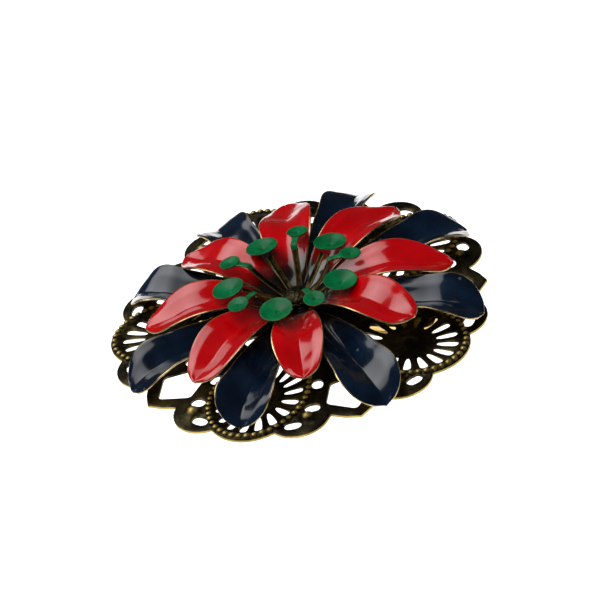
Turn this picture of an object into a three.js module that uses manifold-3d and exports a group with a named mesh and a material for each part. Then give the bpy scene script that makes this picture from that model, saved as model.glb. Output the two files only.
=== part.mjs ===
// Enamel flower brooch on a pierced round plate, fastened by a bar pin with a turning safety catch.
// Millimetres. +Z points out of the flower, +X runs along the pin bar towards the catch, and one medallion
// of the plate points along -Y. The origin is on the flower's axis, level with the lowest point of the catch.
// Heights below are measured from the bar's back, the face that lies on the cloth.
import * as THREE from 'three';
import * as BufferGeometryUtils from 'three/addons/utils/BufferGeometryUtils.js';
import Module from 'manifold-3d';

// Sheet and wire sizes
const seatGap = 0.02;
const sheet = 0.4;
const plateThickness = 0.5;
const collar = { radius: 3, height: 1.6 };
const hubHole = 1.2;

// Pierced plate, five equal sectors, each with one oval medallion
const sectors = 5;
const sectorAngle = (2 * Math.PI) / sectors;
const medallion = { centre: 20, radial: 9.8, tangential: 7.87 };
const slot = { count: 17, from: 0.45, to: 0.8, shoulderAt: 0.82 };
const slotHalf = { inner: 0.25, shoulder: 0.62, outer: 0.3 };
const medallionEnd = THREE.MathUtils.degToRad(38.4);
const lobe = { angle: THREE.MathUtils.degToRad(27.56), radius: 26.2, bulge: 2.6 };
const cusp = { radius: 28.6, shoulderRadius: 27.5, shoulderAngle: THREE.MathUtils.degToRad(31.6) };

// Small holes beside each medallion: distance and angle of the middle, half sizes outwards and sideways
const sideHoles = [
  { radius: 23.8, degrees: 22.2, halfOut: 0.85, halfSide: 1.05, cut: 0.25 },
  { radius: 27.0, degrees: 15.6, halfOut: 0.75, halfSide: 1.15, cut: 0.3 },
  { radius: 18.5, degrees: 25.7, halfOut: 1.0, halfSide: 0.75, cut: 0.25 },
];

// The pentagon window of a cusp as distances and degrees from the cusp, and the keystone nearer the hub
const cuspWindow = { corners: [[19.3, -4.5], [23.5, -8.7], [26.5, 0], [23.5, 8.7], [19.3, 4.5]], cut: 0.12 };
const keystone = { radius: 9.2, halfOut: 1.2, innerHalf: 0.5, outerHalf: 1.2, cut: 0.2 };

// Pin bar, hinge and catch
const bar = { halfLength: 21.5, halfWidth: 2.5, thickness: 0.8, corner: 1.6 };
const sewingHole = { radius: 0.9, at: 10 };
const hinge = { x: -18.5, z: -2.6, rivet: 0.55, hole: 0.6, ear: 1.6, earGap: 1, earSheet: 0.5, earRoot: 0.3 };
const hingeHead = { radius: 0.95, height: 0.35, crown: 0.57, rim: 0.12 };
const stem = { wire: 0.45, root: 1.0, tip: 20.7, taper: 5, point: 0.05, eye: 1.4, eyeHalf: 0.85 };
const housing = { from: 16.5, to: 19.1, outer: 2.3, inner: 1.6, mouth: 1.3 };
const housingFoot = { half: 1.7, height: 0.8, top: 1.2, overlap: 0.1 };
const rotor = { from: 15.9, to: 19.7, outer: 1.45, bore: 0.8, slot: 1.3, flange: 1.95, flangeSheet: 0.5 };
const thumbTab = { root: 1.2, length: 3, width: 1.3, corner: 0.4, angle: THREE.MathUtils.degToRad(150) };
const standHeight = housing.outer - hinge.z;

// Heights of the stack on the centre rivet
const plateBack = bar.thickness + seatGap;
const plateTop = plateBack + plateThickness;
const blueSeat = plateTop + seatGap + collar.height + seatGap;
const redSeat = blueSeat + sheet + seatGap;
const spraySeat = redSeat + sheet + seatGap;
const headSeat = spraySeat + sheet + seatGap;
const rivet = { shank: 1.1, head: 2.2, headHeight: 0.95, tail: 1.75, tailHeight: 0.5 };

// Petal layers: profile points are distance from the axis and height over the plate's front
const bluePetals = {
  count: 8,
  firstAngle: 0,
  hub: 3.6,
  seat: blueSeat,
  halfWidth: 4.6,
  valley: 2.6,
  curl: 0.35,
  profile: [
    [3.3, 1.84], [5.5, 2.1], [9, 3.2], [13, 4.3], [17, 5.2], [20, 5.6], [23, 5.4], [25.6, 4.3],
    [27.8, 2.4], [29, 1],
  ],
  width: [[0, 0.3], [0.2, 0.46], [0.4, 0.68], [0.55, 0.86], [0.68, 0.98], [0.78, 0.98], [0.88, 0.82], [1, 0.1]],
};
const redPetals = {
  count: 8,
  firstAngle: 22.5,
  hub: 3.2,
  seat: redSeat,
  halfWidth: 4.2,
  valley: 1.9,
  curl: 0.35,
  profile: [
    [2.7, 2.26], [4.6, 3.2], [7, 4.8], [10, 6.3], [13, 7.1], [16, 7.0], [19, 6.0], [21.5, 4.7], [23.1, 4.2],
  ],
  width: [[0, 0.34], [0.2, 0.58], [0.4, 0.86], [0.55, 0.98], [0.68, 0.98], [0.82, 0.84], [0.92, 0.58], [1, 0.1]],
};

// Stamen spray: five large cups and five small ones on narrow arms, taken in turn
const spray = { hub: 2.5, firstAngle: 26.4, arm: 1.15, armRoot: 1.9, slant: 0.25 };
const smallCup = { radius: 1.62, ring: 9.9, height: 8.1, depth: 0.35, tilt: 0.15 };
const largeCup = { radius: 2.5, ring: 9.1, height: 7.4, depth: 0.7, tilt: 0.12 };

const wasm = await Module();
wasm.setup();

function toSolid(geometry) {
  const bare = geometry.index ? geometry.toNonIndexed() : geometry.clone();
  bare.deleteAttribute('normal');
  bare.deleteAttribute('uv');
  const merged = BufferGeometryUtils.mergeVertices(bare, 1e-5);
  return new wasm.Manifold(new wasm.Mesh({
    numProp: 3,
    vertProperties: new Float32Array(merged.attributes.position.array),
    triVerts: new Uint32Array(merged.index.array),
  }));
}

function toGeometry(solid) {
  const mesh = solid.getMesh();
  const geometry = new THREE.BufferGeometry();
  geometry.setAttribute('position', new THREE.BufferAttribute(new Float32Array(mesh.vertProperties), 3));
  geometry.setIndex(new THREE.BufferAttribute(new Uint32Array(mesh.triVerts), 1));
  geometry.computeVertexNormals();
  return geometry;
}

function union(geometries) {
  return geometries.map(toSolid).reduce((whole, next) => whole.add(next));
}

function polar(radius, angle) {
  return new THREE.Vector2(radius * Math.cos(angle), radius * Math.sin(angle));
}

function extrudeUp(shape, bottom, height, curveSegments = 24) {
  const geometry = new THREE.ExtrudeGeometry(shape, { depth: height, bevelEnabled: false, curveSegments });
  return geometry.translate(0, 0, bottom);
}

function ringShape(outer, inner) {
  const shape = new THREE.Shape();
  shape.absarc(0, 0, outer, 0, 2 * Math.PI);
  const hole = new THREE.Path();
  hole.absarc(0, 0, inner, 0, 2 * Math.PI);
  shape.holes.push(hole);
  return shape;
}

// A part with its section in the XZ plane, between two places along Y
function extrudeAcross(shape, fromY, toY, curveSegments = 16) {
  const geometry = new THREE.ExtrudeGeometry(shape, { depth: toY - fromY, bevelEnabled: false, curveSegments });
  return geometry.rotateX(Math.PI / 2).translate(0, toY, 0);
}

// A part with its section in the YZ plane, between two places along X
function extrudeAlong(shape, fromX, toX, curveSegments = 24) {
  const geometry = new THREE.ExtrudeGeometry(shape, { depth: toX - fromX, bevelEnabled: false, curveSegments });
  const turn = new THREE.Matrix4().makeBasis(
    new THREE.Vector3(0, 1, 0),
    new THREE.Vector3(0, 0, 1),
    new THREE.Vector3(1, 0, 0),
  );
  return geometry.applyMatrix4(turn).translate(fromX, 0, 0);
}

// ---- Pierced plate ----

// The arc from a to b that bulges outwards from the chord by the given height
function arcBetween(a, b, bulge, steps) {
  const chord = b.clone().sub(a);
  const half = chord.length() / 2;
  const radius = (half * half + bulge * bulge) / (2 * bulge);
  const out = new THREE.Vector2(chord.y, -chord.x).normalize();
  const centre = a.clone().add(b).multiplyScalar(0.5).addScaledVector(out, bulge - radius);
  const start = a.clone().sub(centre).angle();
  let end = b.clone().sub(centre).angle();
  if (end < start) end += 2 * Math.PI;
  return Array.from({ length: steps - 1 }, (_, i) => {
    return centre.clone().add(polar(radius, start + ((end - start) * (i + 1)) / steps));
  });
}

function medallionPoint(fraction, angle) {
  return new THREE.Vector2(
    medallion.centre + medallion.radial * fraction * Math.cos(angle),
    medallion.tangential * fraction * Math.sin(angle),
  );
}

// Half of one sector's edge, from the medallion's outermost point to the middle of the next cusp
function halfSectorEdge() {
  const arc = [0, 0.25, 0.5, 0.75, 1].map((part) => medallionPoint(1, medallionEnd * part));
  const notch = polar(lobe.radius, lobe.angle);
  return [
    ...arc,
    ...arcBetween(arc[arc.length - 1], notch, lobe.bulge, 6),
    notch,
    polar(cusp.shoulderRadius, cusp.shoulderAngle),
    polar(cusp.radius, sectorAngle / 2),
  ];
}

function mirrored(points) {
  return points.map((point) => new THREE.Vector2(point.x, -point.y)).reverse();
}

// A round-cornered hole from its corners, with each corner cut back by the given part of its sides
function softHole(corners, cut) {
  return corners.flatMap((corner, i) => {
    const before = corners[(i + corners.length - 1) % corners.length];
    const after = corners[(i + 1) % corners.length];
    return [corner.clone().lerp(before, cut), corner.clone().lerp(after, cut)];
  });
}

// A hole centred at a distance and angle, with its corners given outwards and sideways
function placedHole(radius, degrees, corners, cut) {
  const angle = THREE.MathUtils.degToRad(degrees);
  const centre = polar(radius, angle);
  const placed = corners.map(([out, side]) => {
    return new THREE.Vector2(out, side).rotateAround(new THREE.Vector2(), angle).add(centre);
  });
  return softHole(placed, cut);
}

function slotHole(index) {
  const angle = (index * 2 * Math.PI) / slot.count;
  const inner = medallionPoint(slot.from, angle);
  const outer = medallionPoint(slot.to, angle);
  const side = outer.clone().sub(inner).normalize().rotateAround(new THREE.Vector2(), Math.PI / 2);
  const shoulder = inner.clone().lerp(outer, slot.shoulderAt);
  return [
    inner.clone().addScaledVector(side, -slotHalf.inner),
    shoulder.clone().addScaledVector(side, -slotHalf.shoulder),
    outer.clone().addScaledVector(side, -slotHalf.outer),
    outer.clone().addScaledVector(side, slotHalf.outer),
    shoulder.clone().addScaledVector(side, slotHalf.shoulder),
    inner.clone().addScaledVector(side, slotHalf.inner),
  ];
}

function sideHole({ radius, degrees, halfOut, halfSide, cut }) {
  const corners = [[-halfOut, -halfSide], [halfOut, -halfSide], [halfOut, halfSide], [-halfOut, halfSide]];
  return placedHole(radius, degrees, corners, cut);
}

function windowHole() {
  const corners = cuspWindow.corners.map(([radius, degrees]) => {
    return polar(radius, sectorAngle / 2 + THREE.MathUtils.degToRad(degrees));
  });
  return softHole(corners, cuspWindow.cut);
}

function keystoneHole() {
  const { radius, halfOut, innerHalf, outerHalf, cut } = keystone;
  const corners = [
    [-halfOut, -innerHalf], [halfOut, -outerHalf], [halfOut, outerHalf], [-halfOut, innerHalf],
  ];
  return placedHole(radius, THREE.MathUtils.radToDeg(sectorAngle / 2), corners, cut);
}

function plateGeometry() {
  const half = halfSectorEdge();
  const sector = [...mirrored(half).slice(1, -1), ...half];
  const sides = sideHoles.map(sideHole);
  const holes = [
    ...Array.from({ length: slot.count }, (_, index) => slotHole(index)),
    ...sides,
    ...sides.map(mirrored),
    windowHole(),
    keystoneHole(),
  ];
  const origin = new THREE.Vector2();
  const outline = [];
  const openings = [];
  for (let k = 0; k < sectors; k += 1) {
    const turn = -Math.PI / 2 + k * sectorAngle;
    outline.push(...sector.map((point) => point.clone().rotateAround(origin, turn)));
    for (const hole of holes) {
      openings.push(new THREE.Path(hole.map((point) => point.clone().rotateAround(origin, turn))));
    }
  }
  const shape = new THREE.Shape(outline);
  const centreHole = new THREE.Path();
  centreHole.absarc(0, 0, hubHole, 0, 2 * Math.PI);
  shape.holes.push(centreHole, ...openings);
  return extrudeUp(shape, plateBack, plateThickness, 6);
}

// ---- Petals ----

// Half width along a petal, from root to tip, as a part of the largest
function widthCurve(layer) {
  const points = layer.width.map(([along, width]) => new THREE.Vector3(along, width, 0));
  return new THREE.CatmullRomCurve3(points, false, 'centripetal');
}

const petalAlong = 10;
const petalAcross = [-1, -0.62, -0.3, 0, 0.3, 0.62, 1];

// Height of the section over the line of the raised edges: a valley that is creased towards the tip
function sectionHeight(layer, along, across) {
  const { smoothstep } = THREE.MathUtils;
  const spread = Math.abs(across);
  const depth = layer.valley * smoothstep(along, 0, 0.5) * (1 - 0.75 * smoothstep(along, 0.75, 1));
  const sharp = 2 - 0.85 * smoothstep(along, 0.35, 0.62);
  const curl = layer.curl * smoothstep(spread, 0.55, 1) * smoothstep(along, 0.2, 0.5);
  return depth * (spread ** sharp - 1) - curl;
}

// One petal along +X as a closed sheet: a grid of points on the front and the same grid on the back
function petalGeometry(layer) {
  const spine = new THREE.CatmullRomCurve3(
    layer.profile.map(([radius, height]) => new THREE.Vector3(radius, 0, plateTop + height)),
    false,
    'centripetal',
  );
  const width = widthCurve(layer);
  const columns = petalAcross.length;
  const rows = petalAlong + 1;
  const positions = [];
  for (const lift of [sheet / 2, -sheet / 2]) {
    for (let i = 0; i < rows; i += 1) {
      const along = i / petalAlong;
      const middle = spine.getPointAt(along);
      const halfWidth = layer.halfWidth * width.getPoint(along).y;
      for (const across of petalAcross) {
        positions.push(middle.x, halfWidth * across, middle.z + sectionHeight(layer, along, across) + lift);
      }
    }
  }
  const back = rows * columns;
  const faces = [];
  const quad = (a, b, c, d) => faces.push(a, b, c, a, c, d);
  for (let i = 0; i < rows - 1; i += 1) {
    for (let j = 0; j < columns - 1; j += 1) {
      const a = i * columns + j;
      quad(a, a + columns, a + columns + 1, a + 1);
      quad(back + a, back + a + 1, back + a + columns + 1, back + a + columns);
    }
    const left = i * columns;
    const right = left + columns - 1;
    quad(left, back + left, back + left + columns, left + columns);
    quad(right, right + columns, back + right + columns, back + right);
  }
  for (let j = 0; j < columns - 1; j += 1) {
    const tip = (rows - 1) * columns + j;
    quad(j, j + 1, back + j + 1, back + j);
    quad(tip, back + tip, back + tip + 1, tip + 1);
  }
  const geometry = new THREE.BufferGeometry();
  geometry.setAttribute('position', new THREE.Float32BufferAttribute(positions, 3));
  geometry.setIndex(faces);
  return geometry;
}

// A whole layer is one stamping: the petals and the disc that joins them
function petalLayerGeometry(layer) {
  const pieces = [extrudeUp(ringShape(layer.hub, hubHole), layer.seat, sheet, 8)];
  for (let k = 0; k < layer.count; k += 1) {
    const angle = THREE.MathUtils.degToRad(layer.firstAngle + (k * 360) / layer.count);
    pieces.push(petalGeometry(layer).rotateZ(angle));
  }
  return toGeometry(union(pieces));
}

// ---- Stamen spray ----

// One arm with its cup, pointing along +X
function stamenPieces(cup) {
  const bottom = plateTop + cup.height - cup.depth;
  const rise = bottom - 0.5 * sheet - spraySeat;
  const run = cup.ring - spray.hub;
  const arm = new THREE.Shape([
    new THREE.Vector2(spray.armRoot, spraySeat),
    new THREE.Vector2(spray.hub, spraySeat),
    new THREE.Vector2(spray.hub + run, spraySeat + rise),
    new THREE.Vector2(spray.hub + run - spray.slant, spraySeat + rise + sheet),
    new THREE.Vector2(spray.hub - spray.slant, spraySeat + sheet),
    new THREE.Vector2(spray.armRoot, spraySeat + sheet),
  ]);
  const dish = new THREE.LatheGeometry([
    new THREE.Vector2(0, -sheet),
    new THREE.Vector2(0.5 * cup.radius, 0.3 * cup.depth - sheet),
    new THREE.Vector2(cup.radius, cup.depth - sheet),
    new THREE.Vector2(cup.radius, cup.depth),
    new THREE.Vector2(0.5 * cup.radius, 0.3 * cup.depth),
    new THREE.Vector2(0, 0),
  ], 10);
  dish.rotateX(Math.PI / 2).rotateY(cup.tilt).translate(cup.ring, 0, bottom);
  return [extrudeAcross(arm, -spray.arm / 2, spray.arm / 2), dish];
}

function sprayGeometry() {
  const pieces = [extrudeUp(ringShape(spray.hub, hubHole), spraySeat, sheet, 10)];
  for (let k = 0; k < 2 * sectors; k += 1) {
    const angle = THREE.MathUtils.degToRad(spray.firstAngle) + (k * sectorAngle) / 2;
    const cup = k % 2 === 0 ? smallCup : largeCup;
    pieces.push(...stamenPieces(cup).map((piece) => piece.rotateZ(angle)));
  }
  return toGeometry(union(pieces));
}

// ---- Centre rivet and collar ----

function collarGeometry() {
  return extrudeUp(ringShape(collar.radius, hubHole), plateTop + seatGap, collar.height, 12);
}

function rivetGeometry() {
  const profile = [[0, -rivet.tailHeight]];
  for (const part of [0.6, 1]) {
    profile.push([rivet.tail * part, -rivet.tailHeight * Math.sqrt(1 - 0.8 * part * part)]);
  }
  profile.push([rivet.tail, -seatGap], [rivet.shank, -seatGap]);
  profile.push([rivet.shank, headSeat], [rivet.head, headSeat]);
  for (const degrees of [15, 35, 55, 75]) {
    const angle = THREE.MathUtils.degToRad(degrees);
    profile.push([rivet.head * Math.cos(angle), headSeat + rivet.headHeight * Math.sin(angle)]);
  }
  profile.push([0, headSeat + rivet.headHeight]);
  const points = profile.map(([radius, height]) => new THREE.Vector2(radius, height));
  return new THREE.LatheGeometry(points, 14).rotateX(Math.PI / 2);
}

// ---- Bar pin ----

function roundedBarShape() {
  const { halfLength, halfWidth, corner } = bar;
  const shape = new THREE.Shape();
  shape.absarc(halfLength - corner, halfWidth - corner, corner, 0, Math.PI / 2);
  shape.absarc(-halfLength + corner, halfWidth - corner, corner, Math.PI / 2, Math.PI);
  shape.absarc(-halfLength + corner, -halfWidth + corner, corner, Math.PI, 1.5 * Math.PI);
  shape.absarc(halfLength - corner, -halfWidth + corner, corner, 1.5 * Math.PI, 2 * Math.PI);
  const holes = [[0, hubHole], [sewingHole.at, sewingHole.radius], [-sewingHole.at, sewingHole.radius]];
  for (const [x, radius] of holes) {
    const hole = new THREE.Path();
    hole.absarc(x, 0, radius, 0, 2 * Math.PI);
    shape.holes.push(hole);
  }
  return shape;
}

// The bar and the two ears of its hinge, folded down from the same strip
function barGeometry() {
  const pieces = [extrudeUp(roundedBarShape(), 0, bar.thickness, 6)];
  for (const side of [-1, 1]) {
    const ear = new THREE.Shape();
    ear.moveTo(hinge.x + hinge.ear, hinge.earRoot);
    ear.lineTo(hinge.x - hinge.ear, hinge.earRoot);
    ear.lineTo(hinge.x - hinge.ear, hinge.z);
    ear.absarc(hinge.x, hinge.z, hinge.ear, Math.PI, 2 * Math.PI);
    const hole = new THREE.Path();
    hole.absarc(hinge.x, hinge.z, hinge.hole, 0, 2 * Math.PI);
    ear.holes.push(hole);
    const inner = side * hinge.earGap;
    const outer = side * (hinge.earGap + hinge.earSheet);
    pieces.push(extrudeAcross(ear, Math.min(inner, outer), Math.max(inner, outer), 8));
  }
  return toGeometry(union(pieces));
}

function hingeRivetGeometry() {
  const outside = hinge.earGap + hinge.earSheet + seatGap;
  const { radius: headRadius, height, crown, rim } = hingeHead;
  const points = [
    [0, -outside - height], [crown, -outside - height], [headRadius, -outside - rim],
    [headRadius, -outside], [hinge.rivet, -outside], [hinge.rivet, outside], [headRadius, outside],
    [headRadius, outside + rim], [crown, outside + height], [0, outside + height],
  ].map(([radius, along]) => new THREE.Vector2(radius, along));
  return new THREE.LatheGeometry(points, 12).translate(hinge.x, 0, hinge.z);
}

// The steel wire: round from the hinge eye to its tapered point
function stemGeometry() {
  const eye = extrudeAcross(ringShape(stem.eye, hinge.hole), -stem.eyeHalf, stem.eyeHalf, 8);
  const end = stem.tip - hinge.x;
  const wire = new THREE.LatheGeometry([
    new THREE.Vector2(0, stem.root),
    new THREE.Vector2(stem.wire, stem.root),
    new THREE.Vector2(stem.wire, end - stem.taper),
    new THREE.Vector2(0.6 * stem.wire, end - 0.4 * stem.taper),
    new THREE.Vector2(stem.point, end - 2 * stem.point),
    new THREE.Vector2(0, end),
  ], 12);
  wire.rotateZ(-Math.PI / 2);
  const whole = union([eye, wire]);
  return toGeometry(whole).translate(hinge.x, 0, hinge.z);
}

// A slot that opens downwards from the catch's middle, past everything below it
function slotCutter(width, from, to) {
  const depth = 6;
  const cutter = new THREE.BoxGeometry(to - from, width, depth);
  return toSolid(cutter.translate((from + to) / 2, 0, hinge.z - depth / 2));
}

function housingGeometry() {
  const ring = ringShape(housing.outer, housing.inner);
  const foot = new THREE.Shape();
  foot.moveTo(-housingFoot.half, -seatGap - hinge.z);
  foot.lineTo(-housingFoot.half, housingFoot.height);
  foot.lineTo(-housingFoot.top, housing.inner + housingFoot.overlap);
  foot.lineTo(housingFoot.top, housing.inner + housingFoot.overlap);
  foot.lineTo(housingFoot.half, housingFoot.height);
  foot.lineTo(housingFoot.half, -seatGap - hinge.z);
  const pieces = [ring, foot].map((shape) => extrudeAlong(shape, housing.from, housing.to, 12));
  const bore = toSolid(extrudeAlong(boreShape(), housing.from - 1, housing.to + 1, 12));
  const bored = union(pieces).subtract(bore);
  const placed = toGeometry(bored).translate(0, 0, hinge.z);
  return toGeometry(toSolid(placed).subtract(slotCutter(housing.mouth, housing.from - 1, housing.to + 1)));
}

function boreShape() {
  const shape = new THREE.Shape();
  shape.absarc(0, 0, housing.inner, 0, 2 * Math.PI);
  return shape;
}

// The turning sleeve with a flange at each end and a thumb tab on the outer flange
function rotorGeometry() {
  const { from, to, outer, bore, flange, flangeSheet } = rotor;
  const tab = new THREE.Shape([
    new THREE.Vector2(thumbTab.root, -thumbTab.width / 2),
    new THREE.Vector2(thumbTab.length - thumbTab.corner, -thumbTab.width / 2),
    new THREE.Vector2(thumbTab.length, -thumbTab.width / 4),
    new THREE.Vector2(thumbTab.length, thumbTab.width / 4),
    new THREE.Vector2(thumbTab.length - thumbTab.corner, thumbTab.width / 2),
    new THREE.Vector2(thumbTab.root, thumbTab.width / 2),
  ]);
  const pieces = [
    extrudeAlong(ringShape(outer, bore), from, to, 10),
    extrudeAlong(ringShape(flange, bore), from, from + flangeSheet, 10),
    extrudeAlong(ringShape(flange, bore), to - flangeSheet, to, 10),
    extrudeAlong(tab, to - flangeSheet, to).rotateX(thumbTab.angle),
  ];
  const placed = toGeometry(union(pieces)).translate(0, 0, hinge.z);
  return toGeometry(toSolid(placed).subtract(slotCutter(rotor.slot, from - 1, to + 1)));
}

// ---- Finishes ----

const antiqueBronze = { color: 0x2b2318, roughness: 0.45, metalness: 0.9 };
const blueEnamel = { color: 0x0c1e3e, roughness: 0.15, metalness: 0.1 };
const redEnamel = { color: 0xa8000f, roughness: 0.15, metalness: 0.1 };
const greenEnamel = { color: 0x148c4b, roughness: 0.35, metalness: 0.05 };
const rawBrass = { color: 0xc9a24a, roughness: 0.3, metalness: 1.0 };
const steel = { color: 0xb9bcc0, roughness: 0.25, metalness: 1.0 };

const brooch = new THREE.Group();
brooch.position.z = standHeight;

function addPiece(name, geometry, finish) {
  const mesh = new THREE.Mesh(geometry, new THREE.MeshStandardMaterial(finish));
  mesh.name = name;
  brooch.add(mesh);
}

addPiece('filigree_plate', plateGeometry(), antiqueBronze);
addPiece('centre_collar', collarGeometry(), antiqueBronze);
addPiece('blue_petals', petalLayerGeometry(bluePetals), blueEnamel);
addPiece('red_petals', petalLayerGeometry(redPetals), redEnamel);
addPiece('stamen_spray', sprayGeometry(), greenEnamel);
addPiece('centre_rivet', rivetGeometry(), antiqueBronze);
addPiece('pin_bar', barGeometry(), rawBrass);
addPiece('hinge_rivet', hingeRivetGeometry(), rawBrass);
addPiece('pin_stem', stemGeometry(), steel);
addPiece('catch_housing', housingGeometry(), rawBrass);
addPiece('catch_rotor', rotorGeometry(), rawBrass);

export default brooch;
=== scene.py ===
import math

import bmesh
import bpy
import numpy as np
from mathutils import Matrix, Vector, geometry, kdtree, noise


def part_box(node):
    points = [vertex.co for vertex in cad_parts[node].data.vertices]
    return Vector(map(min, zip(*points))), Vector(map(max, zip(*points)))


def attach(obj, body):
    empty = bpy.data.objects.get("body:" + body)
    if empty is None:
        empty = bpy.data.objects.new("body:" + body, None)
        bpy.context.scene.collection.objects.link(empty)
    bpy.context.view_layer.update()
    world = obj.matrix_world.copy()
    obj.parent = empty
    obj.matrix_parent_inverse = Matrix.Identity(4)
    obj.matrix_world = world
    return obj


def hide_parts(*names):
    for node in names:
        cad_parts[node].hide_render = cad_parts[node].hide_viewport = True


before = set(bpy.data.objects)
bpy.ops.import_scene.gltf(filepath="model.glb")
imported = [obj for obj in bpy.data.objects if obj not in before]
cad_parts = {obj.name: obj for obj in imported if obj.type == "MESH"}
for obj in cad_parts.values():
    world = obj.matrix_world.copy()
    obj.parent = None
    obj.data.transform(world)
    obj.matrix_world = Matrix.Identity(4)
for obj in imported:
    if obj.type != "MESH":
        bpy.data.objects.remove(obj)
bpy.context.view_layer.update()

# Enamel flower brooch. Sizes in the dictionaries are millimetres, heights are over the plate's front.
mm = 0.001
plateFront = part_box("filigree_plate")[1].z
barSheet = 0.8
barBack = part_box("pin_bar")[1].z - barSheet * mm
scene = bpy.context.scene
print("frame loaded, plate front at", round(plateFront / mm, 2), "mm")


# points are in mm, with heights over the plate's front
def newMesh(name, points, faces, smoothAngle=40.0):
    mesh = bpy.data.meshes.new(name)
    placed = [(x * mm, y * mm, z * mm + plateFront) for x, y, z in points]
    mesh.from_pydata(placed, [], faces)
    mesh.validate()
    piece = bpy.data.objects.new(name, mesh)
    scene.collection.objects.link(piece)
    mesh.polygons.foreach_set("use_smooth", [True] * len(mesh.polygons))
    mesh.set_sharp_from_angle(angle=math.radians(smoothAngle))
    return piece


def pointOutwards(piece):
    work = bmesh.new()
    work.from_mesh(piece.data)
    bmesh.ops.recalc_face_normals(work, faces=work.faces)
    work.to_mesh(piece.data)
    work.free()


def addMask(piece, name, values):
    layer = piece.data.attributes.new(name, "FLOAT", "POINT")
    layer.data.foreach_set("value", np.asarray(values, np.float32))


def finishPiece(piece, body, nodes, materials):
    piece.data.materials.clear()
    for material in materials:
        piece.data.materials.append(material)
    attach(piece, body)
    if nodes:
        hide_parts(*nodes)


def smoothstep(value, low, high):
    part = np.clip((np.asarray(value, float) - low) / (high - low), 0, 1)
    return part * part * (3 - 2 * part)


# evenly spaced points on a smooth curve through the given ones
def throughPoints(points, count):
    p = np.array(points, float)
    t = np.concatenate([[0], np.cumsum(np.linalg.norm(np.diff(p, axis=0), axis=1) ** 0.5)])
    slope = np.gradient(p, t, axis=0)
    fine = []
    for i in range(len(p) - 1):
        span = t[i + 1] - t[i]
        s = np.linspace(0, 1, 24, endpoint=i == len(p) - 2)[:, None]
        fine.append((2 * s**3 - 3 * s**2 + 1) * p[i] + (s**3 - 2 * s**2 + s) * span * slope[i]
                    + (3 * s**2 - 2 * s**3) * p[i + 1] + (s**3 - s**2) * span * slope[i + 1])
    fine = np.vstack(fine)
    gone = np.concatenate([[0], np.cumsum(np.linalg.norm(np.diff(fine, axis=0), axis=1))])
    even = np.linspace(0, gone[-1], count)
    return np.column_stack([np.interp(even, gone, fine[:, k]) for k in range(fine.shape[1])])


def turned(points, angle):
    c, s = math.cos(angle), math.sin(angle)
    p = np.array(points, float)
    p[:, :2] = p[:, :2] @ np.array([[c, s], [-s, c]])
    return p


def newMaterial(name):
    material = bpy.data.materials.new(name)
    material.use_nodes = True
    tree = material.node_tree
    shader = tree.nodes["Principled BSDF"]
    return material, tree, shader


def addNode(tree, kind, **settings):
    node = tree.nodes.new(kind)
    inputs = settings.pop("inputs", {})
    for key, value in settings.items():
        setattr(node, key, value)
    for key, value in inputs.items():
        node.inputs[key].default_value = value
    return node


# an empty shader group with its sockets: {name: default} and {name: socket type}
def newGroup(name, inputs, outputs):
    group = bpy.data.node_groups.new(name, "ShaderNodeTree")
    for key, default in inputs.items():
        kind = "NodeSocketFloat" if isinstance(default, float) else "NodeSocketColor"
        group.interface.new_socket(key, in_out="INPUT", socket_type=kind).default_value = default
    for key, kind in outputs.items():
        group.interface.new_socket(key, in_out="OUTPUT", socket_type=kind)
    return group, group.nodes.new("NodeGroupInput"), group.nodes.new("NodeGroupOutput")


def placeGroup(tree, group, **values):
    node = tree.nodes.new("ShaderNodeGroup")
    node.node_tree = group
    for key, value in values.items():
        node.inputs[key].default_value = value
    return node


# each argument is a socket or a plain value
def mixColour(tree, factor, first, second, mode="MIX"):
    node = addNode(tree, "ShaderNodeMix", data_type="RGBA", blend_type=mode)
    for index, value in ((0, factor), (6, first), (7, second)):
        if isinstance(value, bpy.types.NodeSocket):
            tree.links.new(value, node.inputs[index])
        else:
            node.inputs[index].default_value = value
    return node.outputs[2]


def mathNode(tree, operation, first, second=0.0, clamp=False):
    node = addNode(tree, "ShaderNodeMath", operation=operation, use_clamp=clamp)
    for index, value in ((0, first), (1, second)):
        if isinstance(value, bpy.types.NodeSocket):
            tree.links.new(value, node.inputs[index])
        else:
            node.inputs[index].default_value = value
    return node.outputs[0]


def remap(tree, value, fromLow, fromHigh, toLow=0.0, toHigh=1.0):
    node = addNode(tree, "ShaderNodeMapRange", interpolation_type="SMOOTHSTEP")
    tree.links.new(value, node.inputs["Value"])
    for key, number in (("From Min", fromLow), ("From Max", fromHigh), ("To Min", toLow), ("To Max", toHigh)):
        node.inputs[key].default_value = number
    return node.outputs["Result"]


def objectCoordinates(tree):
    return tree.nodes.new("ShaderNodeTexCoord").outputs["Object"]


def noiseAt(tree, coordinates, scale, detail=3.0, roughness=0.5):
    node = addNode(tree, "ShaderNodeTexNoise",
                   inputs={"Scale": scale, "Detail": detail, "Roughness": roughness})
    tree.links.new(coordinates, node.inputs["Vector"])
    return node.outputs["Fac"]


def attributeValue(tree, name):
    return addNode(tree, "ShaderNodeAttribute", attribute_name=name).outputs["Fac"]


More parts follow.
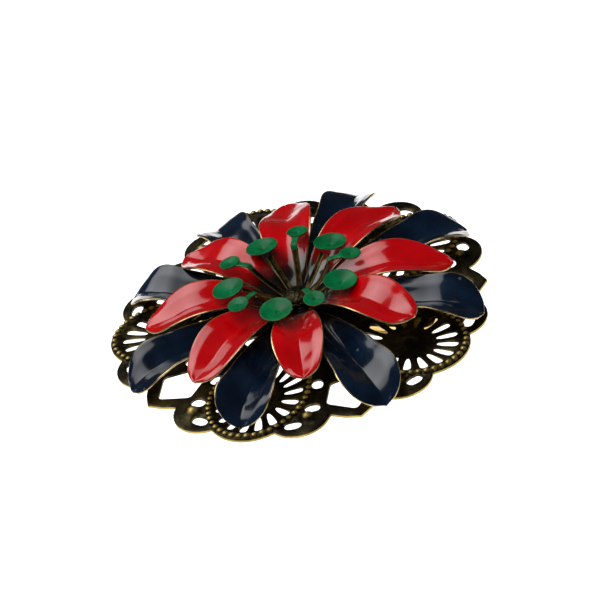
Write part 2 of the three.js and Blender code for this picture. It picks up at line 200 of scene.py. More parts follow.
# painted shade round the flower's axis, where the stamens and upper petals shade the sheet: 1 at the hub, 0
# past the outer radius, in metres
def makeHubPaintedShade():
    group, source, sink = newGroup(
        "hubPaintedShade", {"Inner": 0.005, "Outer": 0.01, "Ragged": 0.0015}, {"Mask": "NodeSocketFloat"})
    coordinates = objectCoordinates(group)
    flat = addNode(group, "ShaderNodeVectorMath", operation="MULTIPLY", inputs={1: (1, 1, 0)})
    group.links.new(coordinates, flat.inputs[0])
    length = addNode(group, "ShaderNodeVectorMath", operation="LENGTH")
    group.links.new(flat.outputs[0], length.inputs[0])
    grain = mathNode(group, "SUBTRACT", noiseAt(group, coordinates, 420.0, 4.0, 0.6), 0.5)
    ragged = mathNode(group, "MULTIPLY", grain, source.outputs["Ragged"])
    radius = mathNode(group, "ADD", length.outputs["Value"], ragged)
    fade = addNode(group, "ShaderNodeMapRange", interpolation_type="SMOOTHSTEP",
                   inputs={"To Min": 1.0, "To Max": 0.0})
    group.links.new(radius, fade.inputs["Value"])
    group.links.new(source.outputs["Inner"], fade.inputs["From Min"])
    group.links.new(source.outputs["Outer"], fade.inputs["From Max"])
    group.links.new(fade.outputs["Result"], sink.inputs["Mask"])
    return group


# height of fired lacquer: slow waves, a fine orange peel and the odd speck under the gloss
def makePoolingHeight():
    group, source, sink = newGroup(
        "poolingHeight", {"Wave": 0.6, "Peel": 0.12, "Specks": 0.4},
        {"Height": "NodeSocketFloat", "Speck": "NodeSocketFloat"})
    coordinates = objectCoordinates(group)
    wave = mathNode(group, "MULTIPLY", noiseAt(group, coordinates, 160.0, 2.0), source.outputs["Wave"])
    peel = mathNode(group, "MULTIPLY", noiseAt(group, coordinates, 1500.0, 2.0), source.outputs["Peel"])
    cells = addNode(group, "ShaderNodeTexVoronoi", feature="F1", inputs={"Scale": 330.0, "Randomness": 1.0})
    group.links.new(coordinates, cells.inputs["Vector"])
    dot = remap(group, cells.outputs["Distance"], 0.05, 0.11, 1.0, 0.0)
    rare = mathNode(group, "GREATER_THAN", noiseAt(group, coordinates, 90.0, 0.0), 0.62)
    speck = mathNode(group, "MULTIPLY", dot, rare)
    raised = mathNode(group, "MULTIPLY", speck, source.outputs["Specks"])
    surface = mathNode(group, "ADD", wave, peel)
    group.links.new(mathNode(group, "ADD", surface, raised), sink.inputs["Height"])
    group.links.new(speck, sink.inputs["Speck"])
    return group


# blackened brass: dark in the hollows, olive where the plating is thin, brassy where it is rubbed
def makeAntiquePatina():
    group, source, sink = newGroup(
        "antiquePatina",
        {"Rub": 0.0, "Dark": (0.010, 0.008, 0.005, 1.0), "Olive": (0.085, 0.068, 0.026, 1.0),
         "Brass": (0.50, 0.37, 0.11, 1.0)},
        {"Color": "NodeSocketColor", "Roughness": "NodeSocketFloat", "Height": "NodeSocketFloat"})
    coordinates = objectCoordinates(group)
    blotch = noiseAt(group, coordinates, 260.0, 5.0, 0.65)
    fine = noiseAt(group, coordinates, 1900.0, 4.0, 0.7)
    tone = mathNode(group, "ADD", mathNode(group, "MULTIPLY", blotch, 0.7),
                    mathNode(group, "MULTIPLY", fine, 0.3))
    ground = mixColour(group, remap(group, tone, 0.42, 0.68), source.outputs["Dark"], source.outputs["Olive"])
    rubbed = mathNode(group, "ADD", source.outputs["Rub"],
                      mathNode(group, "MULTIPLY", mathNode(group, "SUBTRACT", tone, 0.5), 1.3))
    bright = remap(group, rubbed, 0.35, 1.0)
    group.links.new(mixColour(group, bright, ground, source.outputs["Brass"]), sink.inputs["Color"])
    group.links.new(remap(group, fine, 0.3, 0.7, 0.34, 0.52), sink.inputs["Roughness"])
    pitted = mathNode(group, "ADD", mathNode(group, "MULTIPLY", blotch, 0.5),
                      mathNode(group, "MULTIPLY", fine, 0.35))
    group.links.new(pitted, sink.inputs["Height"])
    return group


hubPaintedShade = makeHubPaintedShade()
poolingHeight = makePoolingHeight()
antiquePatina = makeAntiquePatina()


def bumpFrom(tree, height, distance, strength=1.0):
    node = addNode(tree, "ShaderNodeBump", inputs={"Distance": distance, "Strength": strength})
    tree.links.new(height, node.inputs["Height"])
    return node.outputs["Normal"]


# The colour runs from deep to thin, and the painted shade round the hub fades from inner to outer (metres)
enamelFinishes = {
    "blueEnamel": {"deep": (0.0013, 0.0050, 0.0145, 1), "thin": (0.0038, 0.0135, 0.034, 1),
                   "inner": 0.0075, "outer": 0.0165, "coatIor": 1.42, "coatRough": 0.10},
    "redEnamel": {"deep": (0.50, 0.0002, 0.0020, 1), "thin": (0.62, 0.0006, 0.004, 1),
                  "inner": 0.0055, "outer": 0.0105, "coatIor": 1.49, "coatRough": 0.09},
}


# glossy enamel on the front of a brass stamping; the mask 'bare' shows the brass
def makeEnamel(name, look):
    material, tree, shader = newMaterial(name)
    coordinates = objectCoordinates(tree)
    thickness = remap(tree, noiseAt(tree, coordinates, 210.0, 3.0), 0.35, 0.7)
    colour = mixColour(tree, thickness, look["deep"], look["thin"])
    pool = placeGroup(tree, poolingHeight, Wave=0.5, Peel=0.10, Specks=0.35)
    dust = mathNode(tree, "MULTIPLY", pool.outputs["Speck"], 0.35)
    colour = mixColour(tree, dust, colour, (0.25, 0.2, 0.18, 1))
    # painted shade: the enamel turns near-black towards the hub, where the stamens and upper petals shade it
    shade = placeGroup(tree, hubPaintedShade, Inner=look["inner"], Outer=look["outer"], Ragged=0.0030)
    colour = mixColour(tree, shade.outputs["Mask"], colour, (0.006, 0.0045, 0.004, 1))
    bare = attributeValue(tree, "bare")
    tarnish = remap(tree, noiseAt(tree, coordinates, 900.0, 4.0, 0.6), 0.3, 0.7)
    brass = mixColour(tree, tarnish, (0.36, 0.25, 0.10, 1), (0.75, 0.58, 0.28, 1))
    tree.links.new(mixColour(tree, bare, colour, brass), shader.inputs["Base Color"])
    tree.links.new(bare, shader.inputs["Metallic"])
    smooth = remap(tree, noiseAt(tree, coordinates, 350.0, 2.0), 0.3, 0.7, 0.16, 0.26)
    rough = mathNode(tree, "ADD", smooth, mathNode(tree, "MULTIPLY", bare, 0.12))
    tree.links.new(rough, shader.inputs["Roughness"])
    tree.links.new(mathNode(tree, "SUBTRACT", 1.0, bare, True), shader.inputs["Coat Weight"])
    shader.inputs["Coat Roughness"].default_value = look["coatRough"]
    shader.inputs["Specular IOR Level"].default_value = 0.15
    shader.inputs["Coat IOR"].default_value = look["coatIor"]
    tree.links.new(bumpFrom(tree, pool.outputs["Height"], 0.00006), shader.inputs["Normal"])
    return material


# the mask 'rub' is where handling has bared the brass
def makeAntiqueBronze(name):
    material, tree, shader = newMaterial(name)
    patina = placeGroup(tree, antiquePatina)
    tree.links.new(attributeValue(tree, "rub"), patina.inputs["Rub"])
    tree.links.new(patina.outputs["Color"], shader.inputs["Base Color"])
    tree.links.new(patina.outputs["Roughness"], shader.inputs["Roughness"])
    tree.links.new(bumpFrom(tree, patina.outputs["Height"], 0.00008), shader.inputs["Normal"])
    shader.inputs["Metallic"].default_value = 0.9
    return material


# thick satin enamel, a little lumpy, with brass showing where 'bare' says
def makeGreenEnamel(name):
    material, tree, shader = newMaterial(name)
    coordinates = objectCoordinates(tree)
    colour = mixColour(tree, remap(tree, noiseAt(tree, coordinates, 420.0, 3.0), 0.3, 0.7),
                       (0.0008, 0.105, 0.030, 1), (0.0016, 0.185, 0.055, 1))
    bare = attributeValue(tree, "bare")
    tree.links.new(mixColour(tree, bare, colour, (0.30, 0.22, 0.09, 1)), shader.inputs["Base Color"])
    tree.links.new(bare, shader.inputs["Metallic"])
    satin = remap(tree, noiseAt(tree, coordinates, 800.0, 2.0), 0.3, 0.7, 0.26, 0.42)
    tree.links.new(satin, shader.inputs["Roughness"])
    shader.inputs["Specular IOR Level"].default_value = 0.2
    pool = placeGroup(tree, poolingHeight, Wave=1.0, Peel=0.35, Specks=0.2)
    tree.links.new(bumpFrom(tree, pool.outputs["Height"], 0.00012), shader.inputs["Normal"])
    return material


# bare drawn or stamped metal with fine scratches along X and a little tarnish
def makeBrightMetal(name, dark, light, roughLow, roughHigh):
    material, tree, shader = newMaterial(name)
    coordinates = objectCoordinates(tree)
    stretch = addNode(tree, "ShaderNodeMapping")
    stretch.inputs["Scale"].default_value = (0.06, 1.0, 1.0)
    tree.links.new(coordinates, stretch.inputs["Vector"])
    scratches = noiseAt(tree, stretch.outputs["Vector"], 5200.0, 3.0, 0.7)
    tarnish = noiseAt(tree, coordinates, 300.0, 5.0, 0.6)
    colour = mixColour(tree, remap(tree, tarnish, 0.35, 0.65), dark, light)
    tree.links.new(colour, shader.inputs["Base Color"])
    tree.links.new(remap(tree, scratches, 0.25, 0.75, roughLow, roughHigh), shader.inputs["Roughness"])
    tree.links.new(bumpFrom(tree, scratches, 0.00002, 0.6), shader.inputs["Normal"])
    shader.inputs["Metallic"].default_value = 1.0
    return material


blueEnamel = makeEnamel("blueEnamel", enamelFinishes["blueEnamel"])
redEnamel = makeEnamel("redEnamel", enamelFinishes["redEnamel"])
greenEnamel = makeGreenEnamel("greenEnamel")
antiqueBronze = makeAntiqueBronze("antiqueBronze")
rawBrass = makeBrightMetal("rawBrass", (0.52, 0.34, 0.11, 1), (0.80, 0.60, 0.25, 1), 0.2, 0.38)
pinSteel = makeBrightMetal("pinSteel", (0.27, 0.26, 0.25, 1), (0.46, 0.46, 0.46, 1), 0.16, 0.30)
print("finishes made")


plate = {
    "sheet": 0.5, "sectors": 5, "centre": 20.0, "radial": 9.8, "tangential": 7.87,
    "medallionEnd": 38.4, "lobeAngle": 27.56, "lobeRadius": 26.2, "lobeBulge": 2.6,
    "cuspRadius": 28.6, "shoulderRadius": 27.5, "shoulderAngle": 31.6,
    "slots": 17, "slotFrom": 0.45, "slotTo": 0.80, "slotInner": 0.27, "slotOuter": 0.66,
    "hubHole": 1.2, "edgeStep": 0.3, "edgeRound": 0.1, "edgeDrop": 0.08, "spacing": 0.5, "reach": 30.5,
    "meanRadius": 8.7, "wire": 0.91, "wireHeight": 0.35, "wireWidth": 0.55,
    "bossRadius": 1.3, "bossHeight": 0.45, "dish": 0.3,
    "bumpRadius": 1.1, "bumpHeight": 0.75, "bumpAngle": 20.3, "bumpReach": 25.9, "lobeDome": 0.25,
}
# Side holes are radius, degrees and half sizes; the window is radius and degrees from its middle
openings = {
    "sideHoles": [(23.8, 22.2, 0.95, 1.15), (27.0, 15.6, 0.85, 1.3), (18.5, 25.7, 1.05, 0.85)],
    "window": [(19.2, -4.8), (23.5, -8.9), (26.7, 0), (23.5, 8.9), (19.2, 4.8)],
    "keystone": [[8.0, -0.5], [10.4, -1.3], [10.4, 1.3], [8.0, 0.5]], "cornerPart": 0.13,
}


def polar(radius, degrees):
    return np.array([radius * math.cos(math.radians(degrees)), radius * math.sin(math.radians(degrees))])


def ovalPoint(part, degrees):
    a = math.radians(degrees)
    return np.array([plate["centre"] + plate["radial"] * part * math.cos(a),
                     plate["tangential"] * part * math.sin(a)])


def arcBetween(a, b, bulge, steps):
    half = np.linalg.norm(b - a) / 2
    radius = (half**2 + bulge**2) / (2 * bulge)
    out = np.array([(b - a)[1], -(b - a)[0]]) / (2 * half)
    centre = (a + b) / 2 + out * (bulge - radius)
    start = math.atan2(*(a - centre)[::-1])
    sweep = (math.atan2(*(b - centre)[::-1]) - start) % (2 * math.pi)
    turns = [start + sweep * i / steps for i in range(1, steps)]
    return [centre + radius * np.array([math.cos(turn), math.sin(turn)]) for turn in turns]


def evenLoop(points, step):
    p = np.vstack([points, points[:1]])
    gone = np.concatenate([[0], np.cumsum(np.linalg.norm(np.diff(p, axis=0), axis=1))])
    count = max(8, int(round(gone[-1] / step)))
    even = np.arange(count) * gone[-1] / count
    return np.column_stack([np.interp(even, gone, p[:, 0]), np.interp(even, gone, p[:, 1])])


def cutCorners(points, times=3):
    p = np.array(points)
    for _ in range(times):
        after = np.roll(p, -1, axis=0)
        p = np.stack([0.75 * p + 0.25 * after, 0.25 * p + 0.75 * after], 1).reshape(-1, 2)
    return p


def plateEdge():
    arc = [ovalPoint(1, plate["medallionEnd"] * i / 16) for i in range(17)]
    notch = polar(plate["lobeRadius"], plate["lobeAngle"])
    lobe = arcBetween(arc[-1], notch, plate["lobeBulge"], 20)
    shoulder = polar(plate["shoulderRadius"], plate["shoulderAngle"])
    cusp = polar(plate["cuspRadius"], 180 / plate["sectors"])
    half = np.array(arc + lobe + [notch, shoulder, cusp])
    mirror = half[::-1] * np.array([1, -1])
    sector = np.vstack([mirror[1:-1], half])
    turns = [math.radians(-90 + 72 * k) for k in range(plate["sectors"])]
    return np.vstack([turned(sector, turn) for turn in turns])


def slotCorners(index):
    angle = 360 * index / plate["slots"]
    inner, outer = ovalPoint(plate["slotFrom"], angle), ovalPoint(plate["slotTo"], angle)
    along = (outer - inner) / np.linalg.norm(outer - inner)
    side = np.array([-along[1], along[0]])
    shoulder = inner + 0.86 * (outer - inner)
    narrow, wide = plate["slotInner"], plate["slotOuter"]
    return [inner - side * narrow, shoulder - side * wide, outer + along * 0.1 - side * 0.4,
            outer + along * 0.1 + side * 0.4, shoulder + side * wide, inner + side * narrow]


def placedBox(radius, degrees, halfOut, halfSide):
    corners = np.array([[-halfOut, -halfSide], [halfOut, -halfSide],
                        [halfOut, halfSide], [-halfOut, halfSide]])
    return turned(corners, math.radians(degrees)) + polar(radius, degrees)


def plateHoles():
    sideHoles = [placedBox(*hole) for hole in openings["sideHoles"]]
    window = [polar(r, 36 + d) for r, d in openings["window"]]
    keystone = turned(openings["keystone"], math.radians(36))
    shapes = [slotCorners(i) for i in range(plate["slots"])]
    shapes += sideHoles + [np.array(hole)[::-1] * np.array([1, -1]) for hole in sideHoles]
    rounded = [cutCorners(shape, 2) for shape in shapes]
    rounded += [softCorners(window, openings["cornerPart"]), cutCorners(keystone, 2)]
    turns = [math.radians(-90 + 72 * k) for k in range(plate["sectors"])]
    ring = [polar(plate["hubHole"], 360 * i / 32) for i in range(32)]
    return [np.array(ring)] + [turned(hole, turn) for turn in turns for hole in rounded]


# straight sides with only the corners rounded
def softCorners(corners, part):
    p = np.array(corners)
    out = []
    for i, corner in enumerate(p):
        start = corner + (p[i - 1] - corner) * part
        end = corner + (p[(i + 1) % len(p)] - corner) * part
        for s in (0, 0.33, 0.67, 1):
            out.append((1 - s) ** 2 * start + 2 * s * (1 - s) * corner + s**2 * end)
    return np.array(out)


def insideLoop(points, loop):
    x, y = points[:, 0], points[:, 1]
    inside = np.zeros(len(points), bool)
    for (ax, ay), (bx, by) in zip(loop, np.roll(loop, -1, axis=0)):
        crosses = (ay > y) != (by > y)
        with np.errstate(divide="ignore", invalid="ignore"):
            inside ^= crosses & (x < (bx - ax) * (y - ay) / (by - ay) + ax)
    return inside


# the loop moved to its left by the distance: inwards for a counter-clockwise outline
def insetLoop(loop, distance):
    tangent = np.roll(loop, -1, axis=0) - np.roll(loop, 1, axis=0)
    tangent /= np.linalg.norm(tangent, axis=1)[:, None]
    return loop + np.column_stack([-tangent[:, 1], tangent[:, 0]]) * distance


# for each medallion: where the points lie along and across it, and as parts of the oval
def medallionFrames(x, y):
    for k in range(plate["sectors"]):
        a = math.radians(-90 + 72 * k)
        u = x * math.cos(a) + y * math.sin(a)
        v = -x * math.sin(a) + y * math.cos(a)
        yield u, v, (u - plate["centre"]) / plate["radial"], v / plate["tangential"]


# stamped height over the flat sheet, and how much each point is rubbed bright
def plateRelief(x, y):
    height = np.zeros(len(x))
    rub = np.zeros(len(x))
    for u, v, along, across in medallionFrames(x, y):
        part = np.hypot(along, across)
        near = part < 1.25
        wire = np.exp(-((part - plate["wire"]) * plate["meanRadius"] / plate["wireWidth"]) ** 2)
        height += np.where(near, plate["wireHeight"] * wire, 0)
        rub = np.maximum(rub, np.where(near, 0.45 * wire, 0))
        height -= np.where(part < 0.86, plate["dish"] * smoothstep(0.86 - part, 0, 0.4), 0)
        boss = np.clip(1 - (part * plate["meanRadius"] / plate["bossRadius"]) ** 2, 0, None)
        height += plate["bossHeight"] * np.sqrt(boss)
        for side in (-1, 1):
            centre = polar(plate["bumpReach"], side * plate["bumpAngle"])
            away = np.hypot(u - centre[0], v - centre[1])
            dome = np.clip(1 - (away / plate["bumpRadius"]) ** 2, 0, None)
            height += plate["bumpHeight"] * dome ** 0.7
            rub = np.maximum(rub, 0.85 * np.clip(dome * 1.4, 0, 1))
            height += plate["lobeDome"] * np.exp(-(away / 2.4) ** 2) * (part > 1.0)
    return height, rub


def buildPlate():
    outline = evenLoop(plateEdge(), plate["edgeStep"])
    holes = [evenLoop(hole, plate["edgeStep"]) for hole in plateHoles()]
    loops = [outline] + [hole[::-1] for hole in holes]
    points, edges, owner = [], [], []
    for index, loop in enumerate(loops):
        for ring, tag in ((loop, index), (insetLoop(loop, plate["edgeRound"]), -1)):
            first = len(points)
            points.extend(ring)
            owner.extend([tag] * len(ring))
            edges.extend((first + i, first + (i + 1) % len(ring)) for i in range(len(ring)))
    tree = kdtree.KDTree(len(points))
    for i, (x, y) in enumerate(points):
        tree.insert((x, y, 0), i)
    tree.balance()
    step, size = plate["spacing"], plate["reach"]
    rows = np.arange(-size, size, step * 0.866)
    grid = np.array([(x + (i % 2) * step / 2, y)
                     for i, y in enumerate(rows) for x in np.arange(-size, size, step)])
    keep = insideLoop(grid, outline)
    for hole in holes:
        near = (np.abs(grid - hole.mean(0)) < 6).all(1) & keep
        keep[np.where(near)[0][insideLoop(grid[near], hole)]] = False
    grid = [g for g in grid[keep] if tree.find((g[0], g[1], 0))[2] > 0.62 * step]
    flat = [Vector(p) for p in points] + [Vector(g) for g in grid]
    out = geometry.delaunay_2d_cdt(flat, edges, [], 1, 1e-6)
    verts = np.array([tuple(v) for v in out[0]])
    tag = np.full(len(verts), -1)
    for new, old in enumerate(out[3]):
        if old and old[0] < len(owner):
            tag[new] = owner[old[0]]
    faces = [f for f in out[2] if not (tag[f[0]] >= 0 and tag[f[0]] == tag[f[1]] == tag[f[2]])]
    height, rub = plateRelief(verts[:, 0], verts[:, 1])
    onEdge = tag >= 0
    drop = np.where(onEdge, plate["edgeDrop"], 0)
    top = height - drop
    back = -plate["sheet"] + np.clip(height, 0, None) * 0.7 + drop
    count = len(verts)
    allPoints = np.vstack([np.column_stack([verts, top]), np.column_stack([verts, back])])
    allFaces = [tuple(f) for f in faces] + [(f[0] + count, f[2] + count, f[1] + count) for f in faces]
    used = {}
    for f in faces:
        for a, b in ((f[0], f[1]), (f[1], f[2]), (f[2], f[0])):
            used[(a, b)] = True
    walls = [(b, a, a + count, b + count) for a, b in used if (b, a) not in used]
    piece = newMesh("piercedPlate", allPoints, allFaces + walls, 50)
    edgeRub = np.where(tag == 0, 0.95, np.where(onEdge, 0.55, 0))
    addMask(piece, "rub", np.concatenate([np.maximum(rub, edgeRub), np.where(tag == 0, 0.9, 0.12)]))
    return piece


piercedPlate = buildPlate()
finishPiece(piercedPlate, "brooch", ["filigree_plate"], [antiqueBronze])
print("plate:", len(piercedPlate.data.polygons), "faces")


beads = {"diameter": 1.08, "pitch": 1.16, "part": 0.935, "span": 118, "height": 0.24,
         "flatten": 0.78, "wobble": 0.12}


def beadCurves():
    data = bpy.data.curves.new("medallionRims", "CURVE")
    data.dimensions = "3D"
    for k in range(plate["sectors"]):
        arc = [ovalPoint(beads["part"], d) for d in np.linspace(-beads["span"], beads["span"], 60)]
        arc = turned(arc, math.radians(-90 + 72 * k))
        spline = data.splines.new("POLY")
        spline.points.add(len(arc) - 1)
        for point, (x, y) in zip(spline.points, arc):
            point.co = (x * mm, y * mm, plateFront + beads["height"] * mm, 1)
    piece = bpy.data.objects.new("medallionRims", data)
    scene.collection.objects.link(piece)
    return piece


def beadTree(material):
    tree = bpy.data.node_groups.new("beadsAlongRim", "GeometryNodeTree")
    tree.interface.new_socket("Geometry", in_out="INPUT", socket_type="NodeSocketGeometry")
    for name, value in (("Diameter", 0.001), ("Pitch", 0.0011), ("Flatten", 0.8), ("Wobble", 0.08)):
        tree.interface.new_socket(name, in_out="INPUT", socket_type="NodeSocketFloat").default_value = value
    tree.interface.new_socket("Geometry", in_out="OUTPUT", socket_type="NodeSocketGeometry")
    source, sink = tree.nodes.new("NodeGroupInput"), tree.nodes.new("NodeGroupOutput")
    spots = addNode(tree, "GeometryNodeCurveToPoints", mode="LENGTH")
    ball = addNode(tree, "GeometryNodeMeshUVSphere", inputs={"Segments": 12, "Rings": 7})
    radius = addNode(tree, "ShaderNodeMath", operation="MULTIPLY", inputs={1: 0.5})
    size = addNode(tree, "ShaderNodeCombineXYZ", inputs={0: 1.0, 1: 1.0})
    random = addNode(tree, "FunctionNodeRandomValue", data_type="FLOAT")
    low = addNode(tree, "ShaderNodeMath", operation="SUBTRACT", inputs={0: 1.0})
    scaled = addNode(tree, "ShaderNodeVectorMath", operation="SCALE")
    instance = tree.nodes.new("GeometryNodeInstanceOnPoints")
    smooth = tree.nodes.new("GeometryNodeSetShadeSmooth")
    realize = tree.nodes.new("GeometryNodeRealizeInstances")
    paint = tree.nodes.new("GeometryNodeSetMaterial")
    paint.inputs["Material"].default_value = material
    random.inputs["Seed"].default_value = 7
    link = tree.links.new
    link(source.outputs["Geometry"], spots.inputs["Curve"])
    link(source.outputs["Pitch"], spots.inputs["Length"])
    link(source.outputs["Diameter"], radius.inputs[0])
    link(radius.outputs[0], ball.inputs["Radius"])
    link(source.outputs["Flatten"], size.inputs[2])
    link(source.outputs["Wobble"], low.inputs[1])
    link(low.outputs[0], random.inputs[2])
    link(size.outputs[0], scaled.inputs[0])
    link(random.outputs[1], scaled.inputs["Scale"])
    link(spots.outputs["Points"], instance.inputs["Points"])
    link(ball.outputs["Mesh"], instance.inputs["Instance"])
    link(scaled.outputs[0], instance.inputs["Scale"])
    link(instance.outputs["Instances"], realize.inputs["Geometry"])
    link(realize.outputs["Geometry"], smooth.inputs["Geometry"])
    link(smooth.outputs["Geometry"], paint.inputs["Geometry"])
    link(paint.outputs["Geometry"], sink.inputs["Geometry"])
    return tree


# runs the tree on the piece and keeps the result as a plain mesh object
def applyNodes(piece, tree, values, name):
    modifier = piece.modifiers.new(tree.name, "NODES")
    modifier.node_group = tree
    sockets = {item.name: item.identifier for item in tree.interface.items_tree if item.in_out == "INPUT"}
    for key, value in values.items():
        modifier[sockets[key]] = value
    bpy.context.view_layer.update()
    evaluated = piece.evaluated_get(bpy.context.evaluated_depsgraph_get())
    mesh = bpy.data.meshes.new_from_object(evaluated)
    mesh.name = name
    plain = bpy.data.objects.new(name, mesh)
    scene.collection.objects.link(plain)
    bpy.data.objects.remove(piece)
    return plain


rimBeads = applyNodes(beadCurves(), beadTree(antiqueBronze), {
    "Diameter": beads["diameter"] * mm, "Pitch": beads["pitch"] * mm,
    "Flatten": beads["flatten"], "Wobble": beads["wobble"]}, "rimBeads")
beadTops = np.array([v.co.z for v in rimBeads.data.vertices])
addMask(rimBeads, "rub", 1.0 * smoothstep((beadTops - plateFront) / mm, 0.2, 0.62))
finishPiece(rimBeads, "brooch", [], [antiqueBronze])
print("beads:", len(rimBeads.data.polygons), "faces")


# Each bend is one petal: yaw in degrees, tip reach, tip height, crown lift, lean in degrees, width part
bluePetals = {
    "name": "bluePetals", "firstAngle": 0, "halfWidth": 4.6, "valley": 2.6, "curl": 0.35, "sheet": 0.4,
    "hub": 3.6, "hubHeight": 1.84, "rows": 56,
    "profile": [(3.3, 1.84), (5.5, 2.1), (9, 3.2), (13, 4.2), (17, 4.8), (20, 4.9), (23, 5.05),
                (25.6, 4.3), (27.8, 2.4), (29, 1.0)],
    "width": [(0, 0.30), (0.2, 0.46), (0.4, 0.65), (0.55, 0.78), (0.68, 0.88), (0.78, 0.97),
              (0.87, 0.88), (0.94, 0.66), (0.98, 0.40), (1, 0.05)],
    "bends": [(0, 0, 0, 0, 0, 1), (-1.5, 0, 0, 0, 0, 1), (-2.5, -0.6, 0, 0, 0, 0.93),
              (3.5, -1.3, 0, 0, 0, 0.95), (-1.5, -1.2, 0.3, -0.7, 0, 1), (1.3, -0.2, 0, 0, 0, 1),
              (0, -1.0, 0.3, 0, 0, 1), (-1.5, 0.3, 0, 0, 0, 1)],
}
redPetals = {
    "name": "redPetals", "firstAngle": 22.5, "halfWidth": 4.2, "valley": 1.9, "curl": 0.35, "sheet": 0.4,
    "hub": 3.2, "hubHeight": 2.26, "rows": 52,
    "width": [(0, 0.34), (0.2, 0.58), (0.4, 0.86), (0.55, 0.99), (0.68, 1.0), (0.82, 0.86),
              (0.9, 0.70), (0.95, 0.52), (0.98, 0.32), (1, 0.05)],
    "profile": [(2.7, 2.26), (4.6, 3.2), (7, 4.8), (10, 6.3), (13, 7.1), (16, 7.0), (19, 6.0),
                (21.5, 4.7), (23.1, 4.2)],
    "bends": [(0, 0.9, -1.0, 0, 0, 1), (0, 0.9, -0.8, 0, 0, 1), (0, 0, 0, 0, -9, 1), (3, -1.1, 0.2, 0, 0, 1),
              (1, 0.2, -0.6, 0, 0, 1), (0, 0.2, -0.3, 0, 0, 1), (-1, -1.2, 0.4, 0, 0, 0.9),
              (2, 0, 2.4, 0.9, 0, 1)],
}
acrossSteps = np.concatenate([[-1, -0.985, -0.965, -0.92], np.linspace(-0.85, 0.85, 27),
                              [0.92, 0.965, 0.985, 1]])


# A valley between two raised edges: round near the root, a sharp crease towards the tip
def sectionHeight(layer, along, across):
    spread = np.abs(across)
    depth = layer["valley"] * smoothstep(along, 0.0, 0.5) * (1 - 0.75 * smoothstep(along, 0.75, 1))
    sharp = 2.0 - 0.85 * smoothstep(along, 0.35, 0.62)
    curl = layer["curl"] * smoothstep(spread, 0.55, 1) * smoothstep(along, 0.2, 0.5)
    return depth * (spread**sharp - 1) - curl


# the middle surface of one petal along +X, as a grid of points
def petalMiddle(layer, bend):
    yaw, reach, tip, crown, lean, broad = bend
    line = throughPoints(layer["profile"], layer["rows"])
    along = np.linspace(0, 1, layer["rows"])
    line[:, 0] += reach * along**2
    line[:, 1] += tip * along**3 + crown * np.sin(math.pi * along) ** 2
    width = broad * layer["halfWidth"] * np.interp(along, *np.array(throughPoints(layer["width"], 80)).T)
    u, v = np.meshgrid(along, acrossSteps, indexing="ij")
    across = width[:, None] * v
    leaning = math.tan(math.radians(lean)) * across * smoothstep(u, 0.1, 0.5)
    rise = line[:, 1][:, None] + sectionHeight(layer, u, v) + leaning
    grid = np.stack([np.broadcast_to(line[:, 0][:, None], v.shape), across, rise], -1)
    return grid


# A closed sheet about a grid of points, thinner and rounded at its two long edges, and which points are bare
def sheetFromGrid(grid, sheet, rim=0.5):
    du = np.gradient(grid, axis=0)
    dv = np.gradient(grid, axis=1)
    normal = np.cross(du, dv)
    normal /= np.linalg.norm(normal, axis=2)[:, :, None]
    side = dv / np.linalg.norm(dv, axis=2)[:, :, None]
    spread = np.abs(np.linspace(-1, 1, grid.shape[1]))
    half = (sheet / 2 * (1 - (1 - rim) * smoothstep(spread, 0.8, 1)))[None, :, None]
    front = grid + normal * half
    back = grid - normal * half
    left = grid[:, :1] - side[:, :1] * sheet * 0.35 * rim
    right = grid[:, -1:] + side[:, -1:] * sheet * 0.35 * rim
    ring = np.concatenate([left, front, right, back[:, ::-1]], 1)
    rows, columns = ring.shape[:2]
    index = np.arange(rows * columns).reshape(rows, columns)
    a, b = index[:-1], index[1:]
    faces = np.stack([a, b, np.roll(b, -1, 1), np.roll(a, -1, 1)], -1).reshape(-1, 4).tolist()
    width = grid.shape[1]
    for row, flip in ((index[0], False), (index[-1], True)):
        over = row[1:1 + width]
        under = row[2 + width:][::-1]
        caps = [(row[0], over[0], under[0])]
        caps += [(over[j], over[j + 1], under[j + 1], under[j]) for j in range(width - 1)]
        caps.append((over[-1], row[1 + width], under[-1]))
        faces += [c[::-1] if flip else c for c in caps]
    bare = np.ones((rows, columns))
    bare[:, 2:width] = 0
    return ring.reshape(-1, 3), faces, bare.ravel()


# a washer of the given sheet
def flatRing(inner, outer, height, sheet, steps=64):
    low, high, bevel = height - sheet / 2, height + sheet / 2, 0.06
    section = [(inner, low), (outer - bevel, low), (outer, low + bevel),
               (outer, high - bevel), (outer - bevel, high), (inner, high)]
    return lathed(section, steps, True)


# points and faces of a section turned about Z; an open section starts and ends on the axis
def lathed(section, steps, closed):
    body = section if closed else section[1:-1]
    turns = np.linspace(0, 2 * math.pi, steps, endpoint=False)
    points = [(r * math.cos(a), r * math.sin(a), z) for a in turns for r, z in body]
    n = len(body)
    faces = []
    for i in range(steps):
        here, there = i * n, ((i + 1) % steps) * n
        for j in range(n if closed else n - 1):
            k = (j + 1) % n
            faces.append((here + j, there + j, there + k, here + k))
    if not closed:
        for (r, z), j in ((section[0], 0), (section[-1], n - 1)):
            points.append((0, 0, z))
            pole = len(points) - 1
            faces += [(pole, i * n + j, ((i + 1) % steps) * n + j) for i in range(steps)]
    return points, faces


def joined(parts):
    points, faces, masks, start = [], [], [], 0
    for part in parts:
        points.extend(part[0])
        faces.extend(tuple(int(i) + start for i in f) for f in part[1])
        masks.extend(part[2])
        start = len(points)
    return points, faces, masks


